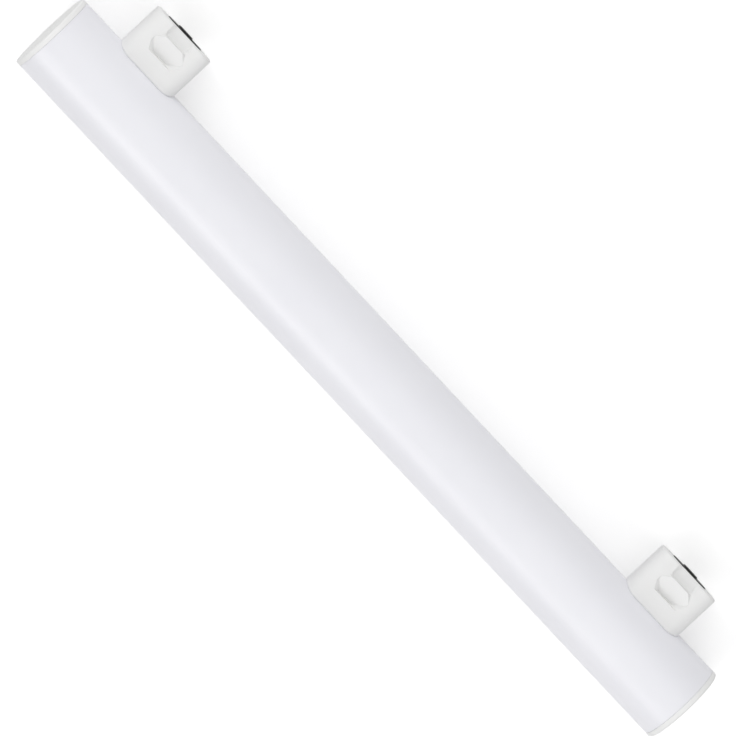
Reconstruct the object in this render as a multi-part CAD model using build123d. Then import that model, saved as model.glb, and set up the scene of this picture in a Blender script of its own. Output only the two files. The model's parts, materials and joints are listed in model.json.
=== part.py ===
from build123d import *

import os
from math import asin, atan2, degrees, hypot, radians, tan

# Linear lamp with two side caps: an opal tube, its end caps, its lamp caps and their contacts.
# Millimetres. The lamp is modelled with +X along the tube and its caps pointing to +Z, and is then
# laid down as it comes to rest on a table. Left is -X and right is +X.

# Whole lamp
LAMP_LENGTH = 300.0
CAP_INSET = 30.5

# Opal tube
TUBE_DIAMETER = 29.5
TUBE_WALL = 1.5
TUBE_EDGE_CHAMFER = 0.12

# End caps, plugged into the mouths of the tube
FLANGE_THICKNESS = 1.9
FLANGE_RIM_RADIUS = 0.7
SPIGOT_LENGTH = 6.0
SPIGOT_WALL = 1.6
SPIGOT_CLEARANCE = 0.1
SPIGOT_LEAD_IN = 0.5
MOUTH_END_GAP = 0.5

# Lamp caps: rounded blocks on the side of the tube
CAP_WIDTH = 24.4
CAP_DEPTH = 15.0
CAP_HEIGHT = 16.2
CAP_CORNER_RADIUS = 4.8
CAP_EDGE_RADIUS = 0.6
SADDLE_EDGE_RADIUS = 0.25
CAP_END_WALL = 2.6

# Neck of a lamp cap, in its socket in the tube
NECK_LENGTH = 2.5
NECK_WALL = 1.5
NECK_CLEARANCE = 0.1
NECK_END_GAP = 0.3

# Lead-in notch, open at the end face, on the front and back of a lamp cap
NOTCH_WIDTH = 9.8
NOTCH_HEIGHT = 4.4
NOTCH_MOUTH_DEPTH = 1.4
NOTCH_FOOT_DEPTH = 0.4
NOTCH_DRAFT = 42.0
NOTCH_FLOOR_CORNER_RADIUS = 0.2

# Snap ramp below the notch: proud at its ridge and sunk at its foot, which ends at a steep wall
RAMP_WIDTH = 14.0
RAMP_FOOT_WIDTH = 9.6
RAMP_HEIGHT = 7.0
RAMP_RISE = 1.0
RAMP_SINK = 2.0
RAMP_DRAFT = 45.0
RAMP_FOOT_DRAFT = 8.0
RAMP_FLOOR_CORNER_RADIUS = 0.2
RAMP_NOTCH_GAP = 0.1

# Contact plate, let into the end face of a lamp cap
PLATE_LENGTH = 15.0
PLATE_WIDTH = 8.4
PLATE_THICKNESS = 0.8
PLATE_PROUD = 0.3
PLATE_EDGE_CHAMFER = 0.12
PLATE_CLEARANCE = 0.1

# Contact rivet, through the plate and the end wall of the lamp cap
RIVET_HEAD_DIAMETER = 6.4
RIVET_HEAD_HEIGHT = 0.45
RIVET_HEAD_CHAMFER = 0.25
RIVET_SHANK_DIAMETER = 3.2
RIVET_TAIL_DIAMETER = 5.4
RIVET_TAIL_HEIGHT = 0.8
RIVET_CLEARANCE = 0.05
TAIL_CLEARANCE = 0.8

# Room by which a cutting solid runs past the face that it cuts
OVERRUN = 1.0

# Sizes that follow from the ones above
TUBE_RADIUS = TUBE_DIAMETER / 2
TUBE_LENGTH = LAMP_LENGTH - 2 * FLANGE_THICKNESS
CAP_X = LAMP_LENGTH / 2 - CAP_INSET
END_FACE_Z = TUBE_RADIUS + CAP_HEIGHT
BROAD_FACE_Y = CAP_DEPTH / 2
BORE_DIAMETER = RIVET_TAIL_DIAMETER + 2 * TAIL_CLEARANCE
NECK_RADIUS = BORE_DIAMETER / 2 + NECK_WALL
SEAT_Z = END_FACE_Z + PLATE_PROUD - PLATE_THICKNESS
BORE_TOP_Z = END_FACE_Z - CAP_END_WALL
PLATE_TOP_Z = END_FACE_Z + PLATE_PROUD
RAMP_TOP = NOTCH_HEIGHT + RAMP_NOTCH_GAP
RAMP_FOOT = RAMP_TOP + RAMP_HEIGHT
SIDES = {"left": -1, "right": 1}


def upright_cylinder(diameter, bottom, top):
    """Cylinder about the lamp cap's axis, between two heights."""
    return Pos(0, 0, bottom) * extrude(Circle(diameter / 2), top - bottom)


def front_and_back(solid):
    """A solid on the front of a lamp cap, with its mirror image on the back."""
    return [solid, mirror(solid, about=Plane.XZ)]


def tube_body(length):
    """Plain cylinder of the tube's outside, about the X axis."""
    return Cylinder(TUBE_RADIUS, length, rotation=(0, 90, 0))


def opal_tube():
    """Sealed envelope: a mouth at each end for an end cap, and a socket for each lamp cap's neck."""
    tube = tube_body(TUBE_LENGTH)
    rims = tube.edges().filter_by(GeomType.CIRCLE)
    tube = chamfer(rims, TUBE_EDGE_CHAMFER)
    mouth_depth = SPIGOT_LENGTH + MOUTH_END_GAP
    mouth = Cylinder(TUBE_RADIUS - TUBE_WALL, 2 * mouth_depth, rotation=(0, 90, 0))
    socket_floor = TUBE_RADIUS - NECK_LENGTH - NECK_END_GAP
    socket = upright_cylinder(2 * (NECK_RADIUS + NECK_CLEARANCE), socket_floor, TUBE_RADIUS + OVERRUN)
    for side in SIDES.values():
        tube -= Pos(side * TUBE_LENGTH / 2, 0, 0) * mouth
        tube -= Pos(side * CAP_X, 0, 0) * socket
    return tube


def end_cap():
    """Flat flange with a ring spigot, with its seat on the tube at x = 0 and the spigot to -X."""
    flange = extrude(Plane.YZ * Circle(TUBE_RADIUS), FLANGE_THICKNESS)
    rim = flange.edges().group_by(Axis.X)[-1]
    flange = fillet(rim, FLANGE_RIM_RADIUS)
    outer_radius = TUBE_RADIUS - TUBE_WALL - SPIGOT_CLEARANCE
    ring = Circle(outer_radius) - Circle(outer_radius - SPIGOT_WALL)
    spigot = extrude(Plane.YZ * ring, -SPIGOT_LENGTH)
    lead_in_edge = spigot.edges().group_by(Axis.X)[0].sort_by(SortBy.LENGTH)[-1]
    spigot = chamfer(lead_in_edge, SPIGOT_LEAD_IN)
    return flange + spigot


def broad_face():
    """Plane on the front of a lamp cap: x along the tube, y from the end face towards the tube."""
    return Plane(origin=(0, BROAD_FACE_Y, END_FACE_Z), x_dir=(1, 0, 0), z_dir=(0, 1, 0))


def sloping_plane(top, top_rise, foot, foot_rise):
    """Plane across the front of a lamp cap, through two lines set by their drop from the end face
    and their rise above the broad face."""
    start = (0, BROAD_FACE_Y + top_rise, END_FACE_Z - top)
    return Plane(origin=start, x_dir=(1, 0, 0), z_dir=(0, foot - top, foot_rise - top_rise))


def lead_in_notch():
    """Solid that cuts the front notch, with drafted walls and a floor that rises from the end face."""
    outline = Rectangle(NOTCH_WIDTH, NOTCH_HEIGHT + OVERRUN + NOTCH_MOUTH_DEPTH)
    outline = Pos(0, (NOTCH_HEIGHT - OVERRUN - NOTCH_MOUTH_DEPTH) / 2) * outline
    lower_corners = outline.vertices().group_by(Axis.Y)[-1]
    corner_radius = NOTCH_FLOOR_CORNER_RADIUS + NOTCH_MOUTH_DEPTH * tan(radians(NOTCH_DRAFT))
    outline = fillet(lower_corners, corner_radius)
    notch = extrude(broad_face() * outline, -NOTCH_MOUTH_DEPTH, taper=NOTCH_DRAFT)
    floor = sloping_plane(0, -NOTCH_MOUTH_DEPTH, NOTCH_HEIGHT, -NOTCH_FOOT_DEPTH)
    return split(notch, bisect_by=floor, keep=Keep.TOP)


def ramp_outline():
    """Six-sided outline of the front ramp, with its sides run on past the ridge and foot by their draft."""
    ridge_run_on = RAMP_RISE * tan(radians(RAMP_DRAFT))
    foot_run_on = RAMP_SINK * tan(radians(RAMP_DRAFT))
    narrowing = (RAMP_WIDTH - RAMP_FOOT_WIDTH) / RAMP_HEIGHT
    corners = [
        (RAMP_FOOT_WIDTH / 2 - ridge_run_on * narrowing, RAMP_TOP - ridge_run_on),
        (RAMP_WIDTH / 2, (RAMP_TOP + RAMP_FOOT) / 2),
        (RAMP_FOOT_WIDTH / 2 - foot_run_on * narrowing, RAMP_FOOT + foot_run_on),
    ]
    mirrored = [(-x, y) for x, y in reversed(corners)]
    outline = make_face(Polyline(corners + mirrored, close=True))
    return fillet(outline.vertices().sort_by(Axis.Y)[2:], RAMP_FLOOR_CORNER_RADIUS + foot_run_on)


def snap_ramp():
    """Solids of the front ramp: the wedge that stands proud and the wedge that is cut away."""
    outline = broad_face() * ramp_outline()
    surface = sloping_plane(RAMP_TOP, RAMP_RISE, RAMP_FOOT, -RAMP_SINK)
    ridge = Plane(origin=(0, 0, END_FACE_Z - RAMP_TOP))
    foot_wall_drop = RAMP_FOOT - RAMP_SINK * tan(radians(RAMP_FOOT_DRAFT))
    foot_wall = sloping_plane(RAMP_FOOT, 0, foot_wall_drop, -RAMP_SINK)
    proud = extrude(outline, RAMP_RISE, taper=RAMP_DRAFT)
    proud = split(proud, bisect_by=surface, keep=Keep.BOTTOM)
    proud = split(proud, bisect_by=ridge, keep=Keep.BOTTOM)
    sunk = extrude(outline, -RAMP_SINK, taper=RAMP_DRAFT)
    sunk = split(sunk, bisect_by=surface, keep=Keep.TOP)
    sunk = split(sunk, bisect_by=foot_wall, keep=Keep.BOTTOM)
    return proud, sunk


def lamp_cap():
    """Moulded block with a saddle on the tube, a neck into it, and notches and ramps front and back."""
    block = extrude(RectangleRounded(CAP_WIDTH, CAP_DEPTH, CAP_CORNER_RADIUS), END_FACE_Z)
    end_edges = block.edges().group_by(Axis.Z)[-1]
    block = fillet(end_edges, CAP_EDGE_RADIUS)
    block -= tube_body(2 * CAP_WIDTH)
    saddle = block.faces().sort_by(Axis.Z)[0]
    block = fillet(saddle.edges(), SADDLE_EDGE_RADIUS)
    block += upright_cylinder(2 * NECK_RADIUS, TUBE_RADIUS - NECK_LENGTH, TUBE_RADIUS + OVERRUN)

    proud, sunk = snap_ramp()
    block += front_and_back(proud)
    block -= front_and_back(sunk)
    block -= front_and_back(lead_in_notch())

    block -= upright_cylinder(BORE_DIAMETER, 0, BORE_TOP_Z)
    block -= upright_cylinder(RIVET_SHANK_DIAMETER + 2 * RIVET_CLEARANCE, 0, END_FACE_Z)
    seat = SlotOverall(PLATE_LENGTH + 2 * PLATE_CLEARANCE, PLATE_WIDTH + 2 * PLATE_CLEARANCE)
    block -= Pos(0, 0, SEAT_Z) * extrude(seat, PLATE_THICKNESS + OVERRUN)
    return block


def contact_plate():
    """Oblong stamped plate on its seat, with a hole for the rivet."""
    plate = Pos(0, 0, SEAT_Z) * extrude(SlotOverall(PLATE_LENGTH, PLATE_WIDTH), PLATE_THICKNESS)
    top_edges = plate.edges().group_by(Axis.Z)[-1]
    plate = chamfer(top_edges, PLATE_EDGE_CHAMFER)
    return plate - upright_cylinder(RIVET_SHANK_DIAMETER + 2 * RIVET_CLEARANCE, 0, PLATE_TOP_Z)


def contact_rivet():
    """Rivet with a flat-topped head on the plate and a set tail under the cap's end wall."""
    head_top = PLATE_TOP_Z + RIVET_HEAD_HEIGHT
    head = upright_cylinder(RIVET_HEAD_DIAMETER, PLATE_TOP_Z, head_top)
    head = chamfer(head.edges().group_by(Axis.Z)[-1], RIVET_HEAD_CHAMFER)
    shank = upright_cylinder(RIVET_SHANK_DIAMETER, BORE_TOP_Z, PLATE_TOP_Z)
    tail = upright_cylinder(RIVET_TAIL_DIAMETER, BORE_TOP_Z - RIVET_TAIL_HEIGHT, BORE_TOP_Z)
    return head + shank + tail


def rest_tilt():
    """Dip of the caps, in degrees, when the lamp lies on its tube and on its caps' end edges or ramps."""
    ridge_z = END_FACE_Z - RAMP_TOP
    end_edge = (END_FACE_Z - CAP_EDGE_RADIUS, BROAD_FACE_Y - CAP_EDGE_RADIUS, CAP_EDGE_RADIUS)
    ramp_ridge = (ridge_z, BROAD_FACE_Y + RAMP_RISE, 0)
    dips = []
    for height, depth, radius in (end_edge, ramp_ridge):
        reach = hypot(height, depth)
        dips.append(degrees(asin((TUBE_RADIUS - radius) / reach) - atan2(depth, height)))
    return min(dips)


def lamp_pieces():
    """Every piece of the lamp by name, with the caps pointing to +Z."""
    pieces = {"opal_tube": opal_tube()}
    cap_pieces = {
        "lamp_cap": lamp_cap(),
        "contact_plate": contact_plate(),
        "contact_rivet": contact_rivet(),
    }
    for name, side in SIDES.items():
        turn = Rot(Z=0 if side > 0 else 180)
        pieces[f"{name}_end_cap"] = turn * Pos(TUBE_LENGTH / 2, 0, 0) * end_cap()
        for piece_name, piece in cap_pieces.items():
            pieces[f"{name}_{piece_name}"] = Pos(side * CAP_X, 0, 0) * piece
    return pieces


def laid_down(pieces):
    """The pieces at rest, caps dipping to -Y, with the origin under the middle of the lamp."""
    turn = Rot(X=90 + rest_tilt())
    turned = {name: turn * piece for name, piece in pieces.items()}
    boxes = [piece.bounding_box() for piece in turned.values()]
    front = min(box.min.Y for box in boxes)
    back = max(box.max.Y for box in boxes)
    shift = Pos(0, -(front + back) / 2, TUBE_RADIUS)
    return {name: shift * piece for name, piece in turned.items()}


os.makedirs("parts", exist_ok=True)
for node, solid in laid_down(lamp_pieces()).items():
    export_step(solid, f"parts/{node}.step")
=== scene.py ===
import json
from math import cos, radians, sin

import bpy
from mathutils import Matrix, Vector


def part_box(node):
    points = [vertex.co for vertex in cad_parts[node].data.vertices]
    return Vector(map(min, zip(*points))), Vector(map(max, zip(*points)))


# Photo's view, as degrees off the square view of the caps' broad faces, and its scale in metres
CAMERA_DISTANCE = 3.5
FRAME_WIDTH = 0.2371
YAW = 5.8
CAP_LEAN = 2.6
ROLL = 46.84
AIM_ALONG_TUBE = 0.0002
AIM_ABOVE_AXIS = 0.0004
SENSOR_WIDTH = 36.0

# Studio: size, grey and glow of the floor, distance and sizes of the softboxes, and strength of the light
# all round
FLOOR_SIZE = 20.0
FLOOR_GREY = 0.6
FLOOR_GLOW = 0.55
SOFTBOX_DISTANCE = 1.5
SMALL_SOFTBOX = 0.8
LARGE_SOFTBOX = 1.4
ROOM_LIGHT = 0.42

# Sizes of the finishes, in metres
CLOUD_SIZE = 0.03
STREAK_LENGTH = 0.2
STREAK_WIDTH = 0.0012
STREAK_DEPTH = 0.000004
OPAL_SCATTER = 0.0015
MOULD_GRAIN_SIZE = 0.0003
MOULD_GRAIN_DEPTH = 0.000006
MOULD_EDGE_RADIUS = 0.0003
# Reach of the painted shade in the lamp caps' recesses
PAINTED_SHADE_REACH = 0.006
SCRATCH_LENGTH = 0.004
SCRATCH_WIDTH = 0.00015

# Whites of the moulded plastic on the lamp caps and on the end caps
LAMP_CAP_WHITE = 0.87
END_CAP_WHITE = 0.91

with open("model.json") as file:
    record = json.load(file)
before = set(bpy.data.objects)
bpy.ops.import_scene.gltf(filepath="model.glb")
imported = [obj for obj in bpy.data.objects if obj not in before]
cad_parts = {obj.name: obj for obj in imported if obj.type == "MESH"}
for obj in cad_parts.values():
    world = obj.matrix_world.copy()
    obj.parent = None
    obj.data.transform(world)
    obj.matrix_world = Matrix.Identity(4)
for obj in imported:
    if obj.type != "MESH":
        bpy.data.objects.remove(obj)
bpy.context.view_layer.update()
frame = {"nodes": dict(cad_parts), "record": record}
nodes = frame["nodes"]
cap_direction = Vector(frame["record"]["mounts"][0]["axis"])
tube_direction = Vector((1, 0, 0))
tube_low, tube_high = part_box("opal_tube")
tube_centre = (tube_low + tube_high) / 2


def new_material(name):
    """An empty node material, its node tree and its main shader."""
    material = bpy.data.materials.new(name)
    material.use_nodes = True
    return material, material.node_tree, material.node_tree.nodes["Principled BSDF"]


def add_noise(tree, size, detail=3.0):
    """Noise in the piece's own coordinates, with cells of the given size along x, y and z."""
    coordinates = tree.nodes.new("ShaderNodeTexCoord")
    mapping = tree.nodes.new("ShaderNodeMapping")
    mapping.inputs["Scale"].default_value = [1 / length for length in size]
    noise = tree.nodes.new("ShaderNodeTexNoise")
    noise.inputs["Scale"].default_value = 1.0
    noise.inputs["Detail"].default_value = detail
    tree.links.new(coordinates.outputs["Object"], mapping.inputs["Vector"])
    tree.links.new(mapping.outputs["Vector"], noise.inputs["Vector"])
    return noise.outputs["Fac"]


def blend(tree, amount, low, first, high, second):
    """Colour that goes from the first to the second as the amount goes from low to high."""
    ramp = tree.nodes.new("ShaderNodeValToRGB")
    ramp.color_ramp.elements[0].position = low
    ramp.color_ramp.elements[0].color = (*first, 1)
    ramp.color_ramp.elements[1].position = high
    ramp.color_ramp.elements[1].color = (*second, 1)
    tree.links.new(amount, ramp.inputs["Fac"])
    return ramp.outputs["Color"]


def multiply(tree, first, second):
    """Product of two colours."""
    product = tree.nodes.new("ShaderNodeMix")
    product.data_type = "RGBA"
    product.blend_type = "MULTIPLY"
    product.inputs["Factor"].default_value = 1.0
    tree.links.new(first, product.inputs["A"])
    tree.links.new(second, product.inputs["B"])
    return product.outputs["Result"]


def openness(tree, reach):
    """Amount that is 1 on open faces and falls towards 0 in the piece's own recesses."""
    occlusion = tree.nodes.new("ShaderNodeAmbientOcclusion")
    occlusion.only_local = True
    occlusion.inputs["Distance"].default_value = reach
    return occlusion.outputs["AO"]


def link_range(tree, noise, low, high, socket):
    """Value that follows the noise from low to high."""
    spread = tree.nodes.new("ShaderNodeMapRange")
    spread.inputs["From Min"].default_value = 0.3
    spread.inputs["From Max"].default_value = 0.7
    spread.inputs["To Min"].default_value = low
    spread.inputs["To Max"].default_value = high
    tree.links.new(noise, spread.inputs["Value"])
    tree.links.new(spread.outputs["Result"], socket)


def link_bump(tree, noise, depth, shader):
    """Relief of the given depth, in metres, that follows the noise."""
    bump = tree.nodes.new("ShaderNodeBump")
    bump.inputs["Strength"].default_value = 1.0
    bump.inputs["Distance"].default_value = depth
    tree.links.new(noise, bump.inputs["Height"])
    tree.links.new(bump.outputs["Normal"], shader.inputs["Normal"])
    return bump


def soften_edges(tree, radius, bump):
    """Round the light on the piece's edges, under its relief."""
    bevel = tree.nodes.new("ShaderNodeBevel")
    bevel.samples = 8
    bevel.inputs["Radius"].default_value = radius
    tree.links.new(bevel.outputs["Normal"], bump.inputs["Normal"])


def opal_plastic():
    """Satin opal tube: faintly bluish white, a little translucent, with the streaks of its extrusion."""
    material, tree, shader = new_material("opal_plastic_satin")
    cloud = add_noise(tree, (CLOUD_SIZE, CLOUD_SIZE, CLOUD_SIZE))
    streaks = add_noise(tree, (STREAK_LENGTH, STREAK_WIDTH, STREAK_WIDTH), 2.0)
    colour = blend(tree, cloud, 0.35, (0.9, 0.9, 0.95), 0.65, (0.915, 0.915, 0.965))
    tree.links.new(colour, shader.inputs["Base Color"])
    link_range(tree, streaks, 0.33, 0.41, shader.inputs["Roughness"])
    link_bump(tree, streaks, STREAK_DEPTH, shader)
    shader.inputs["Subsurface Weight"].default_value = 0.2
    shader.inputs["Subsurface Radius"].default_value = (1.0, 1.0, 1.0)
    shader.inputs["Subsurface Scale"].default_value = OPAL_SCATTER
    return material


def white_plastic(name, white):
    """Moulded white plastic with a fine spark-eroded grain, soft edges and painted shade that darkens its
    recesses.
    """
    material, tree, shader = new_material(name)
    cloud = add_noise(tree, (CLOUD_SIZE / 4, CLOUD_SIZE / 4, CLOUD_SIZE / 4))
    grain = add_noise(tree, (MOULD_GRAIN_SIZE, MOULD_GRAIN_SIZE, MOULD_GRAIN_SIZE))
    shade = (white, white, 0.995 * white)
    light_shade = [1.015 * level for level in shade]
    colour = blend(tree, cloud, 0.35, shade, 0.65, light_shade)
    # Painted shade: the colour darkens towards the piece's own recesses, following its ambient occlusion.
    painted_recess_shade = blend(tree, openness(tree, PAINTED_SHADE_REACH), 0.3, (0.92, 0.92, 0.915), 0.95, (1, 1, 1))
    tree.links.new(multiply(tree, colour, painted_recess_shade), shader.inputs["Base Color"])
    link_range(tree, grain, 0.6, 0.74, shader.inputs["Roughness"])
    bump = link_bump(tree, grain, MOULD_GRAIN_DEPTH, shader)
    soften_edges(tree, MOULD_EDGE_RADIUS, bump)
    return material


def contact_metal():
    """Contact metal darkened nearly to black as painted shade, with fine scratches from the lampholder's
    contacts.
    """
    material, tree, shader = new_material("contact_metal_painted_shade")
    scratches = add_noise(tree, (SCRATCH_LENGTH, SCRATCH_WIDTH, SCRATCH_WIDTH))
    # Painted shade: the near-black colour stands in for the dark that the contact reflects.
    colour = blend(tree, scratches, 0.35, (0.012, 0.012, 0.012), 0.65, (0.03, 0.03, 0.03))
    tree.links.new(colour, shader.inputs["Base Color"])
    link_range(tree, scratches, 0.3, 0.5, shader.inputs["Roughness"])
    shader.inputs["Metallic"].default_value = 0.9
    return material


def dress():
    """Put the finishes on the lamp's pieces, by the record's slots, with a brighter white on the end caps."""
    finishes = {
        "opal_plastic": opal_plastic(),
        "white_plastic": white_plastic("white_plastic_moulded", LAMP_CAP_WHITE),
        "contact_metal": contact_metal(),
    }
    end_finish = white_plastic("white_plastic_bright", END_CAP_WHITE)
    for subpart in frame["record"]["subparts"]:
        mesh = nodes[subpart["node"]].data
        mesh.materials.clear()
        at_end = subpart["node"].endswith("end_cap")
        mesh.materials.append(end_finish if at_end else finishes[subpart["material_slot"]])


def camera_axes():
    """The camera's right, up and backward directions in the row frame."""
    broad_direction = cap_direction.cross(tube_direction)
    lean = cos(radians(CAP_LEAN)) * broad_direction + sin(radians(CAP_LEAN)) * cap_direction
    backward = (cos(radians(YAW)) * lean + sin(radians(YAW)) * tube_direction).normalized()
    level_left = (tube_direction - backward * backward.dot(tube_direction)).normalized()
    level_up = level_left.cross(backward)
    up = sin(radians(ROLL)) * level_left + cos(radians(ROLL)) * level_up
    return up.cross(backward), up, backward, level_up


def make_camera():
    """Camera at the photo's viewing angle, with the lamp's ends at the frame's corners."""
    right, up, backward, level_up = camera_axes()
    aim = tube_centre + AIM_ALONG_TUBE * tube_direction + AIM_ABOVE_AXIS * level_up
    data = bpy.data.cameras.new("camera")
    data.sensor_width = SENSOR_WIDTH
    data.lens = SENSOR_WIDTH * CAMERA_DISTANCE / FRAME_WIDTH
    data.clip_end = FLOOR_SIZE
    camera = bpy.data.objects.new("camera", data)
    rotation = Matrix((right, up, backward)).transposed()
    camera.matrix_world = Matrix.Translation(aim + CAMERA_DISTANCE * backward) @ rotation.to_4x4()
    bpy.context.scene.collection.objects.link(camera)
    bpy.context.scene.camera = camera


def seen_directly(tree):
    """Socket that is 1 where the eye sees a surface straight on, in a reflection or through glass."""
    path = tree.nodes.new("ShaderNodeLightPath")
    either = tree.nodes.new("ShaderNodeMath")
    either.operation = "MAXIMUM"
    seen = tree.nodes.new("ShaderNodeMath")
    seen.operation = "MAXIMUM"
    tree.links.new(path.outputs["Is Camera Ray"], either.inputs[0])
    tree.links.new(path.outputs["Is Glossy Ray"], either.inputs[1])
    tree.links.new(either.outputs["Value"], seen.inputs[0])
    tree.links.new(path.outputs["Is Transmission Ray"], seen.inputs[1])
    return seen.outputs["Value"]


def make_floor():
    """Plain pale floor that is lifted to white where it is seen and keeps the lamp's soft shadow."""
    bpy.ops.mesh.primitive_plane_add(size=FLOOR_SIZE, location=(0, 0, 0))
    floor = bpy.context.object
    floor.name = "floor"
    material, tree, shader = new_material("floor_white")
    shader.inputs["Base Color"].default_value = (FLOOR_GREY, FLOOR_GREY, FLOOR_GREY, 1)
    shader.inputs["Roughness"].default_value = 0.9
    shader.inputs["Emission Color"].default_value = (1, 1, 1, 1)
    glow = tree.nodes.new("ShaderNodeMath")
    glow.operation = "MULTIPLY"
    glow.inputs[1].default_value = FLOOR_GLOW
    tree.links.new(seen_directly(tree), glow.inputs[0])
    tree.links.new(glow.outputs["Value"], shader.inputs["Emission Strength"])
    floor.data.materials.append(material)


def make_room():
    """Even light from all round, seen as white behind the floor."""
    world = bpy.data.worlds.new("studio")
    bpy.context.scene.world = world
    world.use_nodes = True
    tree = world.node_tree
    background = tree.nodes["Background"]
    background.inputs["Color"].default_value = (1, 1, 1, 1)
    strength = tree.nodes.new("ShaderNodeMix")
    strength.inputs["A"].default_value = ROOM_LIGHT
    strength.inputs["B"].default_value = 1.0
    tree.links.new(seen_directly(tree), strength.inputs["Factor"])
    tree.links.new(strength.outputs["Result"], background.inputs["Strength"])


def softbox(name, azimuth, elevation, size, power):
    """Square soft lamp that faces the tube from the given side, in degrees, metres and watts."""
    across = cos(radians(elevation))
    side = Vector((sin(radians(azimuth)) * across, -cos(radians(azimuth)) * across, sin(radians(elevation))))
    data = bpy.data.lights.new(name, "AREA")
    data.size = size
    data.energy = power
    lamp = bpy.data.objects.new(name, data)
    lamp.location = tube_centre + SOFTBOX_DISTANCE * side
    lamp.rotation_euler = side.to_track_quat("Z", "Y").to_euler()
    bpy.context.scene.collection.objects.link(lamp)


def make_lights():
    """Even light in the room, and softboxes behind the tube, at its left end and at its front right."""
    make_room()
    softbox("back_softbox", 180, 47, SMALL_SOFTBOX, 6.5)
    softbox("left_softbox", 270, 50, LARGE_SOFTBOX, 5.6)
    softbox("front_right_softbox", 45, 25, LARGE_SOFTBOX, 10.3)


dress()
make_camera()
make_floor()
make_lights()
bpy.context.scene.view_settings.view_transform = "Standard"
